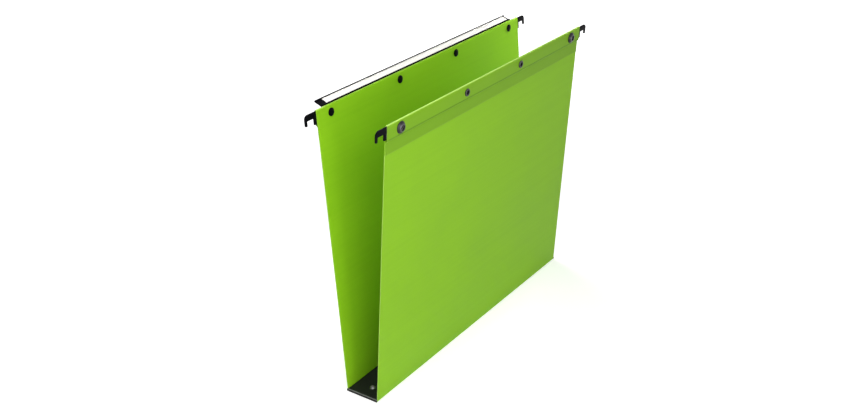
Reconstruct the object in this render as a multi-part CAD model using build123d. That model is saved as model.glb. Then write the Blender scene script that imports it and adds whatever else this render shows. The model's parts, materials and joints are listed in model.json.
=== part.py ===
from build123d import *

import os
from collections import namedtuple
from math import cos, radians, sin

# Hanging file folder for A4 papers, in millimetres.
# X runs along the folder's width, -Y is the front wall, +Y the back wall, +Z is up.
# The origin is the middle of the underside of the base.

# Driving dimensions of the folder
PANEL_WIDTH = 316.0  # with the hooks, this puts their slots 330 apart, for the filing frame's rails
PANEL_HEIGHT = 259.0  # front wall, bottom fold to the top of the hem, along the sheet
BACK_DROP = 1.5  # the back wall's hem tops out this much lower
BASE_DEPTH = 32.4  # outside, across both bottom folds
FRONT_LEAN = 3.0  # degrees outward from upright
BACK_LEAN = 5.0
SHEET = 0.5  # polypropylene sheet
OVERRUN = 2.0  # how far a cut runs past the faces that it opens

# Base
FOLD_GAP = 0.15  # left between the base panel and each wall along the crease
BASE_RECESS = 3.0  # base panel stops this far short of the folder's ends
PLATE_THICKNESS = 1.6
PLATE_SIDE_GAP = 0.45  # base plate to the upright wall beside it
END_LIP_GAP = 0.1  # base plate's end lip to the walls' ends
END_LIP_THICKNESS = 0.9
END_LIP_ROUND = 0.5
EYELET_INSET = 13.0  # eyelet's middle to the sheet's end
EYELET_OFFSET = 1.5  # towards the front wall
EYELET_BORE_RADIUS = 1.7
EYELET_WALL = 0.4
EYELET_FLANGE_RADIUS = 2.9
EYELET_FLANGE_THICKNESS = 0.45
EYELET_FLARE = 0.8  # how far the clinched end spreads, all inside the sheet
FIT = 0.05  # clearance round a shank in its hole

# Hem along the top of each wall
BAR_THICKNESS = 1.2
BAR_HEIGHT = 10.0
BAR_WALL = 0.25
BAR_CLEARANCE = 0.05  # bar to the hem on each side and at the top
HEM_ROOM = 3.8  # below the bar, down to the weld line
HEM_SLANT = 1.0  # height over which the hem closes down on the wall
TAIL_HEIGHT = 11.2  # flap welded flat on the wall, below the weld line
HEM_NOTCH = 0.5  # outside of the hem cut back at each end

# Moulded hooks
HOOK_THICKNESS = 1.3
HOOK_NECK = 2.8  # sheet's end to the hook's slot
HOOK_DROP = 0.35  # hook's top below the bar's
HOOK_ARM_HEIGHT = 5.1
HOOK_SLOT_WIDTH = 8.4
HOOK_OUTER_LEG = 2.4
HOOK_OUTER_DROP = 4.1  # outer tip below the top of the slot
HOOK_INNER_DROP = 5.8  # inner leg's end below the top of the slot
HOOK_CROWN_RADIUS = 3.6
HOOK_SLOT_RADIUS = 0.5
HOOK_TIP_RADIUS = 0.5
TANG_PAST_STUD = 8.0  # tang's end past the middle of the stud that holds it
TANG_HEIGHT = 7.4
TANG_CLEARANCE = 0.05

# Studs and rivets through the hem
STUD_INSET = 18.0  # end studs from the sheet's ends
RIVET_REACH = 44.5  # rivets from the middle
STUD_BELOW_BAR_TOP = 6.2
POST_RADIUS = 1.25
CAP_RADIUS = 3.5
CAP_THICKNESS = 1.0
CAP_EDGE = 0.45  # straight part of the cap's edge
UPSET_RADIUS = 1.9
UPSET_THICKNESS = 0.2

# Press-stud socket, on the outside of the front wall
SOCKET_RADIUS = 5.2
SOCKET_EDGE = 0.5  # height of its edge, from which it slopes up to the mouth
SOCKET_HEIGHT = 2.4
SOCKET_FLOOR = 0.35
SOCKET_ROUND = 0.25
MOUTH_RADIUS = 2.4
MOUTH_ROUND = 0.1
MOUTH_WALL = 0.7  # flat ring round the mouth
LIP_THICKNESS = 0.55
CHAMBER_RADIUS = 3.1
SPRING_WIRE_RADIUS = 0.2
SPRING_HALF_GAP = 1.7  # wire's middle to the socket's axis
SPRING_LEG = 3.0
SPRING_SET_BACK = 0.3  # wire to the underside of the lip

# Press stud, on the outside of the back wall
STUD_FLANGE_RADIUS = 5.0
STUD_FLANGE_THICKNESS = 0.8
STUD_FLANGE_ROUND = 0.35
STUD_NECK_RADIUS = 1.75
STUD_NECK_HEIGHT = 1.3  # the head then lies past the socket's clip, which grips the neck
STUD_HEAD_RADIUS = 2.15
STUD_HEAD_HEIGHT = 0.5
STUD_HEAD_ROUND = 0.2
STUD_SINK = 0.5  # post's reach into the stud, past its flange

# Rivet washers, on the outside of both walls
WASHER_RADIUS = 3.4
WASHER_THICKNESS = 1.1
WASHER_ROUND = 0.5
WASHER_WELL_RADIUS = 2.1
WASHER_WELL_DEPTH = 0.5
RIVET_BORE_RADIUS = 0.8
RIVET_BORE_DEPTH = 1.5

# Label holder behind the back hem
HOLDER_INSET = 10.5  # holder's ends from the sheet's
LEG_THICKNESS = 1.0
LEG_BELOW_BAR = 0.6  # holder's leg past the bar's lower edge
TRAY_TILT = 25.0  # degrees, rising to the back, from square to the wall
TRAY_DEPTH = 8.3
TRAY_WALL = 0.5
TRAY_FLOOR = 0.6
TRAY_GAP = 0.6  # room for the label under the lips
TRAY_LIP = 0.4
TRAY_LIP_REACH = 0.6
TRAY_RISE = 0.4  # tray's near top edge above the hem
LABEL_LEFT_GAP = 8.0  # label to the holder's ends
LABEL_RIGHT_GAP = 3.0
LABEL_THICKNESS = 0.3
LABEL_CLEARANCE = 0.1

# Places that follow from the sizes above, in a wall's own frame:
# X along the width, Y outward from the middle of the sheet, Z up the wall from its fold
FOLD_Y = (BASE_DEPTH - SHEET) / 2
FOLD_Z = SHEET / 2
PANEL_END = PANEL_WIDTH / 2
POCKET = BAR_THICKNESS + 2 * BAR_CLEARANCE
INNER_FACE = -SHEET / 2
POCKET_NEAR = SHEET / 2
POCKET_FAR = POCKET_NEAR + POCKET
HEM_FACE = POCKET_FAR + SHEET
HEM_MIDDLE = (POCKET_NEAR + POCKET_FAR) / 2
LEG_FACE = HEM_FACE + LEG_THICKNESS
FOLD_RADIUS = POCKET / 2 + SHEET
BACK_TOP = PANEL_HEIGHT - BACK_DROP
PLATE_TOP = SHEET + PLATE_THICKNESS
SLOT_INNER = PANEL_END + HOOK_NECK
SLOT_OUTER = SLOT_INNER + HOOK_SLOT_WIDTH
STUD_REACH = PANEL_END - STUD_INSET
HOLDER_LENGTH = PANEL_WIDTH - 2 * HOLDER_INSET
LABEL_LENGTH = HOLDER_LENGTH - LABEL_LEFT_GAP - LABEL_RIGHT_GAP
POST_HOLE = POST_RADIUS + FIT
SIDES = (-1, 1)

Wall = namedtuple("Wall", "name place top seat")


def wall_frames():
    """The two walls, each with its place, the top of its hem and the face that its studs seat on."""
    half_turn = Rotation(0, 0, 180)
    front_place = Pos(0, -FOLD_Y, FOLD_Z) * Rotation(FRONT_LEAN, 0, 0) * half_turn
    back_place = Pos(0, FOLD_Y, FOLD_Z) * Rotation(-BACK_LEAN, 0, 0)
    front = Wall("front", front_place, PANEL_HEIGHT, HEM_FACE)
    back = Wall("back", back_place, BACK_TOP, LEG_FACE)
    return front, back


def bar_top(wall):
    return wall.top - SHEET - BAR_CLEARANCE


def stud_height(wall):
    return bar_top(wall) - STUD_BELOW_BAR_TOP


def weld_line(wall):
    return bar_top(wall) - BAR_HEIGHT - HEM_ROOM


def along_width(face, length):
    """A section drawn in Y and Z, run evenly to both sides of the middle."""
    return extrude(Plane.YZ * face, amount=length / 2, both=True)


def rounded(corners):
    """A closed outline from points, each with the radius of its corner."""
    points = [point for point, radius in corners]
    radii = [radius for point, radius in corners]
    return FilletPolyline(*points, radius=radii, close=True)


def round_about_y(*outline):
    """A turned piece: radius along X and distance along the axis, which becomes +Y."""
    return revolve(make_face(outline), axis=Axis.Y)


def cross_holes(wall, reaches, radius, low, high):
    """Round holes through a hem, from Y low to Y high, at each reach on both sides."""
    drill = Cylinder(radius, high - low + 2 * OVERRUN, rotation=(90, 0, 0))
    middle = (low + high) / 2
    places = [Pos(side * reach, middle, stud_height(wall)) for reach in reaches for side in SIDES]
    return [place * drill for place in places]


def pair_at(reach, wall, start, piece):
    """One piece at each side of the middle, seated at Y start."""
    places = [Pos(side * reach, start, stud_height(wall)) for side in SIDES]
    return Compound([place * piece for place in places])


# The sheet: two walls and the base panel between them

def wall_panel(wall):
    weld = weld_line(wall)
    fold = wall.top - FOLD_RADIUS
    tail_face = POCKET_NEAR + SHEET
    outside = [
        Line((INNER_FACE, 0), (INNER_FACE, fold)),
        ThreePointArc((INNER_FACE, fold), (HEM_MIDDLE, wall.top), (HEM_FACE, fold)),
        Polyline(
            (HEM_FACE, fold),
            (HEM_FACE, weld + HEM_SLANT),
            (tail_face, weld),
            (tail_face, weld - TAIL_HEIGHT),
            (POCKET_NEAR, weld - TAIL_HEIGHT),
            (POCKET_NEAR, 0),
        ),
        ThreePointArc((POCKET_NEAR, 0), (0, INNER_FACE), (INNER_FACE, 0)),
    ]
    pocket = [
        Line((POCKET_NEAR, weld), (POCKET_NEAR, fold)),
        ThreePointArc((POCKET_NEAR, fold), (HEM_MIDDLE, wall.top - SHEET), (POCKET_FAR, fold)),
        Polyline((POCKET_FAR, fold), (POCKET_FAR, weld + HEM_SLANT), (POCKET_NEAR, weld)),
    ]
    panel = along_width(make_face(outside) - make_face(pocket), PANEL_WIDTH)
    notch = Box(
        HEM_NOTCH + OVERRUN,
        HEM_FACE - POCKET_NEAR + OVERRUN,
        wall.top - weld + OVERRUN,
        align=(Align.MIN, Align.MIN, Align.MIN),
    )
    right_notch = Pos(PANEL_END - HEM_NOTCH, POCKET_NEAR, weld) * notch
    left_notch = mirror(right_notch, about=Plane.YZ)
    holes = cross_holes(wall, (STUD_REACH, RIVET_REACH), POST_HOLE, INNER_FACE, HEM_FACE)
    return panel - [right_notch, left_notch] - holes


def eyelet_places():
    reach = PANEL_END - EYELET_INSET
    return [Pos(side * reach, -EYELET_OFFSET, 0) for side in SIDES]


def base_panel():
    depth = BASE_DEPTH - 2 * SHEET - 2 * FOLD_GAP
    length = PANEL_WIDTH - 2 * BASE_RECESS
    panel = Box(length, depth, SHEET, align=(Align.CENTER, Align.CENTER, Align.MIN))
    shank = EYELET_BORE_RADIUS + EYELET_WALL + FIT
    sink = Cone(shank + EYELET_FLARE, shank, SHEET, align=(Align.CENTER, Align.CENTER, Align.MIN))
    return panel - [place * sink for place in eyelet_places()]


def base_plate():
    """Stiffening plate on the base panel, with a lip across each end that covers the sheet's cut edges."""
    depth = BASE_DEPTH - 2 * SHEET - 2 * PLATE_SIDE_GAP
    lip_start = PANEL_END + END_LIP_GAP
    lip_end = lip_start + END_LIP_THICKNESS
    plate = Pos(0, 0, SHEET) * extrude(Rectangle(2 * lip_start, depth), PLATE_THICKNESS)
    corners = [
        ((lip_start, 0), 0),
        ((lip_end, 0), 0),
        ((lip_end, PLATE_TOP), END_LIP_ROUND),
        ((lip_start, PLATE_TOP), 0),
    ]
    lip = extrude(Plane.XZ * make_face(rounded(corners)), amount=BASE_DEPTH / 2, both=True)
    hole = Cylinder(EYELET_BORE_RADIUS + EYELET_WALL + FIT, 2 * PLATE_TOP + OVERRUN)
    return plate + [lip, mirror(lip, about=Plane.YZ)] - [place * hole for place in eyelet_places()]


def base_eyelets():
    """Hollow eyelets: a flange on the base plate, a tube, and an end clinched flush in the sheet."""
    shank = EYELET_BORE_RADIUS + EYELET_WALL
    flange_top = PLATE_TOP + EYELET_FLANGE_THICKNESS
    section = Polyline(
        (EYELET_BORE_RADIUS, flange_top),
        (EYELET_FLANGE_RADIUS, flange_top),
        (EYELET_FLANGE_RADIUS, PLATE_TOP),
        (shank, PLATE_TOP),
        (shank, SHEET),
        (shank + EYELET_FLARE, 0),
        (EYELET_BORE_RADIUS + EYELET_FLARE, 0),
        (EYELET_BORE_RADIUS, SHEET),
        close=True,
    )
    eyelet = revolve(Plane.XZ * make_face(section), axis=Axis.Z)
    return Compound([place * eyelet for place in eyelet_places()])


# Hanger bars and hooks

def hanger_bar(wall):
    """Steel strip folded over along its top edge, open below."""
    top = bar_top(wall)
    bottom = top - BAR_HEIGHT
    outer = BAR_THICKNESS / 2
    inner = outer - BAR_WALL
    bend = top - outer
    left, right = HEM_MIDDLE - outer, HEM_MIDDLE + outer
    slot_left, slot_right = HEM_MIDDLE - inner, HEM_MIDDLE + inner
    section = [
        Line((left, bottom), (left, bend)),
        ThreePointArc((left, bend), (HEM_MIDDLE, top), (right, bend)),
        Polyline((right, bend), (right, bottom), (slot_right, bottom), (slot_right, bend)),
        ThreePointArc((slot_right, bend), (HEM_MIDDLE, top - BAR_WALL), (slot_left, bend)),
        Polyline((slot_left, bend), (slot_left, bottom), (left, bottom)),
    ]
    bar = along_width(make_face(section), PANEL_WIDTH)
    holes = cross_holes(wall, (STUD_REACH, RIVET_REACH), POST_HOLE, left, right)
    return bar - holes


def right_hook(wall):
    """Flat moulded hook with a tang that lies inside the folded bar."""
    top = bar_top(wall) - HOOK_DROP
    slot_top = top - HOOK_ARM_HEIGHT
    outer_tip = slot_top - HOOK_OUTER_DROP
    inner_end = slot_top - HOOK_INNER_DROP
    far_side = SLOT_OUTER + HOOK_OUTER_LEG
    corners = [
        ((PANEL_END, top), 0),
        ((far_side, top), HOOK_CROWN_RADIUS),
        ((far_side, outer_tip), HOOK_TIP_RADIUS),
        ((SLOT_OUTER, outer_tip), HOOK_TIP_RADIUS),
        ((SLOT_OUTER, slot_top), HOOK_SLOT_RADIUS),
        ((SLOT_INNER, slot_top), HOOK_SLOT_RADIUS),
        ((SLOT_INNER, inner_end), HOOK_TIP_RADIUS),
        ((PANEL_END, inner_end), 0),
    ]
    blade = extrude(Plane.XZ * make_face(rounded(corners)), amount=HOOK_THICKNESS / 2, both=True)
    tang = Box(
        HOOK_NECK + STUD_INSET + TANG_PAST_STUD,
        BAR_THICKNESS - 2 * BAR_WALL - 2 * TANG_CLEARANCE,
        TANG_HEIGHT,
        align=(Align.MAX, Align.CENTER, Align.CENTER),
    )
    hook = Pos(0, HEM_MIDDLE, 0) * (blade + Pos(SLOT_INNER, 0, stud_height(wall)) * tang)
    return hook - cross_holes(wall, (STUD_REACH,), POST_HOLE, INNER_FACE, HEM_FACE)


# Studs and rivets, each drawn from its seat outward along +Y

def cap_outline(shank):
    """Domed cap under Y 0, and its post up to Y shank; the outline is left open at the axis."""
    dome_rise = CAP_THICKNESS - CAP_EDGE
    dome_middle = (CAP_RADIUS * sin(radians(45)), -CAP_EDGE - dome_rise * cos(radians(45)))
    return [
        ThreePointArc((0, -CAP_THICKNESS), dome_middle, (CAP_RADIUS, -CAP_EDGE)),
        Polyline((CAP_RADIUS, -CAP_EDGE), (CAP_RADIUS, 0), (POST_RADIUS, 0), (POST_RADIUS, shank)),
    ]


def stud_cap(shank):
    """Cap whose post ends flat, inside the press stud."""
    close = Polyline((POST_RADIUS, shank), (0, shank), (0, -CAP_THICKNESS))
    return round_about_y(*cap_outline(shank), close)


def upset_cap(shank, bore, depth):
    """Cap whose post is spread over its washer or socket, hollow at the end where bore isn't zero."""
    end = shank + UPSET_THICKNESS
    head = [(POST_RADIUS, shank), (UPSET_RADIUS, shank), (UPSET_RADIUS, end)]
    well = [(bore, end), (bore, end - depth)] if bore else []
    axis = [(0, end - depth), (0, -CAP_THICKNESS)]
    return round_about_y(*cap_outline(shank), Polyline(*head, *well, *axis))


def stud_socket():
    lip_under = SOCKET_HEIGHT - LIP_THICKNESS
    corners = [
        ((POST_HOLE, 0), 0),
        ((SOCKET_RADIUS, 0), 0),
        ((SOCKET_RADIUS, SOCKET_EDGE), SOCKET_ROUND),
        ((MOUTH_RADIUS + MOUTH_WALL, SOCKET_HEIGHT), SOCKET_ROUND),
        ((MOUTH_RADIUS, SOCKET_HEIGHT), MOUTH_ROUND),
        ((MOUTH_RADIUS, lip_under), 0),
        ((CHAMBER_RADIUS, lip_under), 0),
        ((CHAMBER_RADIUS, SOCKET_FLOOR), 0),
        ((POST_HOLE, SOCKET_FLOOR), 0),
    ]
    return round_about_y(rounded(corners))


def socket_spring():
    """Wire clip in the socket's chamber: two legs that grip a stud's neck, joined by a bend."""
    across = SOCKET_HEIGHT - LIP_THICKNESS - SPRING_SET_BACK - SPRING_WIRE_RADIUS
    leg_top = SPRING_LEG - SPRING_HALF_GAP / 2
    bend = leg_top - SPRING_LEG
    down = Line((-SPRING_HALF_GAP, across, leg_top), (-SPRING_HALF_GAP, across, bend))
    turn = ThreePointArc(
        (-SPRING_HALF_GAP, across, bend),
        (0, across, bend - SPRING_HALF_GAP),
        (SPRING_HALF_GAP, across, bend),
    )
    up = Line((SPRING_HALF_GAP, across, bend), (SPRING_HALF_GAP, across, leg_top))
    path = Wire([down, turn, up])
    start = Plane(path @ 0, z_dir=path % 0)
    return sweep(start * Circle(SPRING_WIRE_RADIUS), path=path)


def press_stud():
    neck_top = STUD_FLANGE_THICKNESS + STUD_NECK_HEIGHT
    head_top = neck_top + STUD_HEAD_HEIGHT
    sink = STUD_FLANGE_THICKNESS + STUD_SINK + FIT
    corners = [
        ((POST_HOLE, 0), 0),
        ((STUD_FLANGE_RADIUS, 0), 0),
        ((STUD_FLANGE_RADIUS, STUD_FLANGE_THICKNESS), STUD_FLANGE_ROUND),
        ((STUD_NECK_RADIUS, STUD_FLANGE_THICKNESS), 0),
        ((STUD_NECK_RADIUS, neck_top), 0),
        ((STUD_HEAD_RADIUS, neck_top), 0),
        ((STUD_HEAD_RADIUS, head_top), STUD_HEAD_ROUND),
        ((0, head_top), 0),
        ((0, sink), 0),
        ((POST_HOLE, sink), 0),
    ]
    return round_about_y(rounded(corners))


def rivet_washer():
    well_floor = WASHER_THICKNESS - WASHER_WELL_DEPTH
    corners = [
        ((POST_HOLE, 0), 0),
        ((WASHER_RADIUS, 0), 0),
        ((WASHER_RADIUS, WASHER_THICKNESS), WASHER_ROUND),
        ((WASHER_WELL_RADIUS, WASHER_THICKNESS), WASHER_ROUND / 2),
        ((WASHER_WELL_RADIUS, well_floor), 0),
        ((POST_HOLE, well_floor), 0),
    ]
    return round_about_y(rounded(corners))


def rivet_pieces(wall):
    well_floor = WASHER_THICKNESS - WASHER_WELL_DEPTH
    shank = wall.seat - INNER_FACE + well_floor
    rivet = upset_cap(shank, RIVET_BORE_RADIUS, RIVET_BORE_DEPTH)
    return {
        f"{wall.name}_rivets": pair_at(RIVET_REACH, wall, INNER_FACE, rivet),
        f"{wall.name}_rivet_washers": pair_at(RIVET_REACH, wall, wall.seat, rivet_washer()),
    }


def socket_pieces(front):
    shank = front.seat - INNER_FACE + SOCKET_FLOOR
    return {
        "front_stud_caps": pair_at(STUD_REACH, front, INNER_FACE, upset_cap(shank, 0, 0)),
        "front_stud_sockets": pair_at(STUD_REACH, front, front.seat, stud_socket()),
        "front_socket_springs": pair_at(STUD_REACH, front, front.seat, socket_spring()),
    }


def stud_pieces(back):
    shank = back.seat - INNER_FACE + STUD_FLANGE_THICKNESS + STUD_SINK
    return {
        "back_stud_caps": pair_at(STUD_REACH, back, INNER_FACE, stud_cap(shank)),
        "back_studs": pair_at(STUD_REACH, back, back.seat, press_stud()),
    }


# Label holder and label, drawn in the back wall's frame

def tray_height():
    return TRAY_FLOOR + TRAY_GAP + TRAY_LIP


def tray_point(deep, high):
    """A point of the tilted tray: deep from its near side, high above its underside."""
    tilt = radians(TRAY_TILT)
    near_y = HEM_FACE + tray_height() * sin(tilt)
    near_z = BACK_TOP + TRAY_RISE - tray_height() * cos(tilt)
    return near_y + deep * cos(tilt) - high * sin(tilt), near_z + deep * sin(tilt) + high * cos(tilt)


def label_holder(back):
    height = tray_height()
    under_lip = TRAY_FLOOR + TRAY_GAP
    lip = TRAY_WALL + TRAY_LIP_REACH
    tray = Polyline(
        tray_point(0, 0),
        tray_point(TRAY_DEPTH, 0),
        tray_point(TRAY_DEPTH, height),
        tray_point(TRAY_DEPTH - lip, height),
        tray_point(TRAY_DEPTH - lip, under_lip),
        tray_point(TRAY_DEPTH - TRAY_WALL, under_lip),
        tray_point(TRAY_DEPTH - TRAY_WALL, TRAY_FLOOR),
        tray_point(TRAY_WALL, TRAY_FLOOR),
        tray_point(TRAY_WALL, under_lip),
        tray_point(lip, under_lip),
        tray_point(lip, height),
        tray_point(0, height),
        close=True,
    )
    leg_bottom = bar_top(back) - BAR_HEIGHT - LEG_BELOW_BAR
    leg_top = tray_point(0, height / 2)[1]
    leg = Polyline(
        (HEM_FACE, leg_bottom),
        (LEG_FACE, leg_bottom),
        (LEG_FACE, leg_top),
        (HEM_FACE, leg_top),
        close=True,
    )
    holder = along_width(make_face(tray) + make_face(leg), HOLDER_LENGTH)
    return holder - cross_holes(back, (STUD_REACH, RIVET_REACH), POST_HOLE, HEM_FACE, LEG_FACE)


def paper_label():
    near = TRAY_WALL + LABEL_CLEARANCE
    far = TRAY_DEPTH - TRAY_WALL - LABEL_CLEARANCE
    low = TRAY_FLOOR + LABEL_CLEARANCE
    high = low + LABEL_THICKNESS
    section = Polyline(
        tray_point(near, low),
        tray_point(far, low),
        tray_point(far, high),
        tray_point(near, high),
        close=True,
    )
    shift = (LABEL_LEFT_GAP - LABEL_RIGHT_GAP) / 2
    return Pos(shift, 0, 0) * along_width(make_face(section), LABEL_LENGTH)


def hook_pair(wall):
    """The two hooks of a bar, named as they lie in the folder; the front wall's frame is turned round."""
    plus_x = right_hook(wall)
    minus_x = mirror(plus_x, about=Plane.YZ)
    right, left = (minus_x, plus_x) if wall.name == "front" else (plus_x, minus_x)
    return {f"{wall.name}_left_hook": left, f"{wall.name}_right_hook": right}


def wall_pieces(wall):
    pieces = {f"{wall.name}_panel": wall_panel(wall), f"{wall.name}_hanger_bar": hanger_bar(wall)}
    return pieces | hook_pair(wall) | rivet_pieces(wall)


def main():
    front, back = wall_frames()
    front_pieces = wall_pieces(front) | socket_pieces(front)
    back_pieces = wall_pieces(back) | stud_pieces(back)
    back_pieces |= {"label_holder": label_holder(back), "paper_label": paper_label()}
    base_pieces = {"base_panel": base_panel(), "base_plate": base_plate(), "base_eyelets": base_eyelets()}
    folder = dict(base_pieces)
    folder |= {name: front.place * piece for name, piece in front_pieces.items()}
    folder |= {name: back.place * piece for name, piece in back_pieces.items()}
    os.makedirs("parts", exist_ok=True)
    for name, piece in folder.items():
        export_step(piece, f"parts/{name}.step")
    print(len(folder), "nodes written")


main()
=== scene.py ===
# %% [markdown]
# # Dressing a hanging file folder
# The folder is two walls and a base of lime green polypropylene sheet, with a black board in the base,
# a steel bar in the hem of each wall, moulded hooks on the bars, press studs, and a long label channel
# behind the back wall. Its solids come packed from the CAD model. They could be rebuilt here by eye, but
# loading them keeps every size and every joint, so this lesson only adds what the solids lack: the bent
# sheet, rounded mouldings and finishes.

import json
import math

import bmesh
import bpy
from mathutils import Matrix, Vector


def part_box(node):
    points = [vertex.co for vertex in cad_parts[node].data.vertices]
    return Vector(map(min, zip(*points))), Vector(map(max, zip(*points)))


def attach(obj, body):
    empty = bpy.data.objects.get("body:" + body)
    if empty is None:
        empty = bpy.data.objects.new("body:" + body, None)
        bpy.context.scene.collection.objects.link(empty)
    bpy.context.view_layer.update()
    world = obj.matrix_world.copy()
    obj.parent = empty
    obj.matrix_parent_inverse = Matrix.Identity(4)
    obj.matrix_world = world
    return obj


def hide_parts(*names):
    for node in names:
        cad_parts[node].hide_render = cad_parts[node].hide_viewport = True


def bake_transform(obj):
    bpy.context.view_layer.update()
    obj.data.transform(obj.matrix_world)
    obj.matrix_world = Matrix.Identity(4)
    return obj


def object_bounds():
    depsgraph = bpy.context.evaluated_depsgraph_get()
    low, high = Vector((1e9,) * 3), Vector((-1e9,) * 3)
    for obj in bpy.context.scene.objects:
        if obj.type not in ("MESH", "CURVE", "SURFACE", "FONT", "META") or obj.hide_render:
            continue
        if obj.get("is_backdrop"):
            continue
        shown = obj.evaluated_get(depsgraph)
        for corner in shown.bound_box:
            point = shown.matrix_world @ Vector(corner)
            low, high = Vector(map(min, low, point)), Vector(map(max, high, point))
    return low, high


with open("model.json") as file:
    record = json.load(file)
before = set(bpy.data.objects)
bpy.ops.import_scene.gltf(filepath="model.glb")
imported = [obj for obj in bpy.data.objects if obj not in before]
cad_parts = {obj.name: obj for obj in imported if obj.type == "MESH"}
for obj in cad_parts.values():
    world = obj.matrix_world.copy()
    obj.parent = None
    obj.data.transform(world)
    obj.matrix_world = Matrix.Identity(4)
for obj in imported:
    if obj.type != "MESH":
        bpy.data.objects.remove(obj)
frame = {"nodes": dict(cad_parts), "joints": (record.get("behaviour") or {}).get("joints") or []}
cad_low, cad_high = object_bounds()

# %% [markdown]
# ## The camera
# The photograph looks at the folder from its left end, a little from above. A camera could be aimed by
# eye, but the corners of both walls give its place, turn and lens by a fit, and then every piece can be
# compared pixel by pixel. Blender's camera looks along its own -Z, so a direction is turned into a
# rotation with to_track_quat.

# %% Place the camera
MM = 0.001
CAMERA_PLACE = Vector((-808.81, -510.93, 578.33)) * MM
CAMERA_YAW = math.radians(55.758)
CAMERA_PITCH = math.radians(25.524)
CAMERA_LENS = 48.164
CAMERA_SENSOR = 36.0


def aimed(direction):
    """The rotation of a camera or lamp that looks along a direction."""
    return direction.to_track_quat("-Z", "Y").to_euler()


camera_data = bpy.data.cameras.new("photo_camera")
camera_data.sensor_width = CAMERA_SENSOR
camera_data.lens = CAMERA_LENS
camera = bpy.data.objects.new("photo_camera", camera_data)
level = math.cos(CAMERA_PITCH)
sight = Vector((math.sin(CAMERA_YAW) * level, math.cos(CAMERA_YAW) * level, -math.sin(CAMERA_PITCH)))
camera.location = CAMERA_PLACE
camera.rotation_euler = aimed(sight)
bpy.context.scene.collection.objects.link(camera)
bpy.context.scene.camera = camera
print("camera at", [round(c, 3) for c in camera.location], "lens", CAMERA_LENS)

# %% [markdown]
# ## Sums in a finish
# A finish is a node tree, and wiring nodes one by one is hard to read. Here a socket is wrapped in a
# small class, so that a sum such as 0.4 + 0.1 * grain adds its own Math nodes. The reflected forms, such
# as __rsub__, are there so that a plain number may also come first, as in 1 - mask.

# %% A socket that can be added and multiplied
class Signal:
    """A socket of a node tree. Arithmetic on it adds Math nodes to that tree."""

    def __init__(self, nodes, socket):
        self.nodes = nodes
        self.socket = socket

    def sum(self, operation, first, second):
        return self.nodes.node("ShaderNodeMath", {"operation": operation}, {0: first, 1: second})

    def __add__(self, other):
        return self.sum("ADD", self, other)

    def __radd__(self, other):
        return self.sum("ADD", other, self)

    def __sub__(self, other):
        return self.sum("SUBTRACT", self, other)

    def __rsub__(self, other):
        return self.sum("SUBTRACT", other, self)

    def __mul__(self, other):
        return self.sum("MULTIPLY", self, other)

    def __rmul__(self, other):
        return self.sum("MULTIPLY", other, self)

    def __abs__(self):
        return self.nodes.node("ShaderNodeMath", {"operation": "ABSOLUTE"}, {0: self})


print("sums on sockets are ready")


# %% [markdown]
# ## Nodes by name
# Every other kind of node comes from one method. It takes the node's type, its settings, which are set
# first because they decide which sockets there are, and what goes into its sockets. Sockets could be
# counted off by number alone, but a name is easier to check. A Finish is such a tree for a material.

# %% A node tree that is wired by name
class Nodes:
    """A node tree. Plain values go on sockets, signals are linked to them."""

    def __init__(self, tree, shader_name):
        self.tree = tree
        self.shader = tree.nodes[shader_name]

    def feed(self, socket, value):
        if isinstance(value, Signal):
            self.tree.links.new(value.socket, socket)
        else:
            socket.default_value = value

    def pick(self, sockets, key):
        usable = [s for s in sockets if s.enabled]
        return usable[key] if isinstance(key, int) else next(s for s in usable if s.name == key)

    def node(self, kind, settings, inputs, output=0):
        made = self.tree.nodes.new(kind)
        for name, value in settings.items():
            setattr(made, name, value)
        for key, value in inputs.items():
            self.feed(self.pick(made.inputs, key), value)
        return Signal(self, self.pick(made.outputs, output))

    def mix(self, factor, first, second):
        inputs = {"Factor": factor, "A": first, "B": second}
        return self.node("ShaderNodeMix", {"data_type": "RGBA"}, inputs, "Result")

    def drive(self, socket, value):
        self.feed(self.shader.inputs[socket], value)


class Finish(Nodes):
    """A material with one Principled shader, whose even values are set on its own sockets."""

    def __init__(self, name, constants):
        self.material = bpy.data.materials.new(name)
        self.material.use_nodes = True
        super().__init__(self.material.node_tree, "Principled BSDF")
        for socket, value in constants.items():
            self.shader.inputs[socket].default_value = value


print("finishes can be wired by name")


# %% [markdown]
# ## Colours and textures that several finishes share
# Colours are picked as a screen shows them, 0 to 255, but Blender's sockets take linear light, so they
# are converted once. The textures are noises in the object's own metres: a scale of 1000 gives specks a
# millimetre across. They need no UV map, so they also suit the solids that come from the CAD model.

# %% Colour and noise helpers
def srgb(red, green, blue):
    """A screen colour as the linear colour of a socket."""
    shares = [c / 255 for c in (red, green, blue)]
    linear = [s / 12.92 if s <= 0.04045 else ((s + 0.055) / 1.055) ** 2.4 for s in shares]
    return (*linear, 1.0)


def noise(finish, scale, detail=2.0, stretch=(1.0, 1.0, 1.0)):
    """Soft noise from 0 to 1 over the piece, stretched where an axis has a small number."""
    place = finish.node("ShaderNodeTexCoord", {}, {}, "Object")
    drawn = finish.node("ShaderNodeMapping", {}, {"Vector": place, "Scale": stretch})
    return finish.node("ShaderNodeTexNoise", {}, {"Vector": drawn, "Scale": scale, "Detail": detail})


def painted(finish, name):
    """A number that a mesh carries at its points."""
    return finish.node("ShaderNodeAttribute", {"attribute_name": name}, {}, "Fac")


def between(finish, value, low, high):
    """0 below low, 1 above high, and a ramp between them."""
    return finish.node("ShaderNodeMapRange", {}, {"Value": value, "From Min": low, "From Max": high})


def along(finish, way):
    """How far a point of the piece lies along a direction, in metres."""
    place = finish.node("ShaderNodeTexCoord", {}, {}, "Object")
    return finish.node("ShaderNodeVectorMath", {"operation": "DOT_PRODUCT"}, {0: place, 1: way}, "Value")


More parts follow.
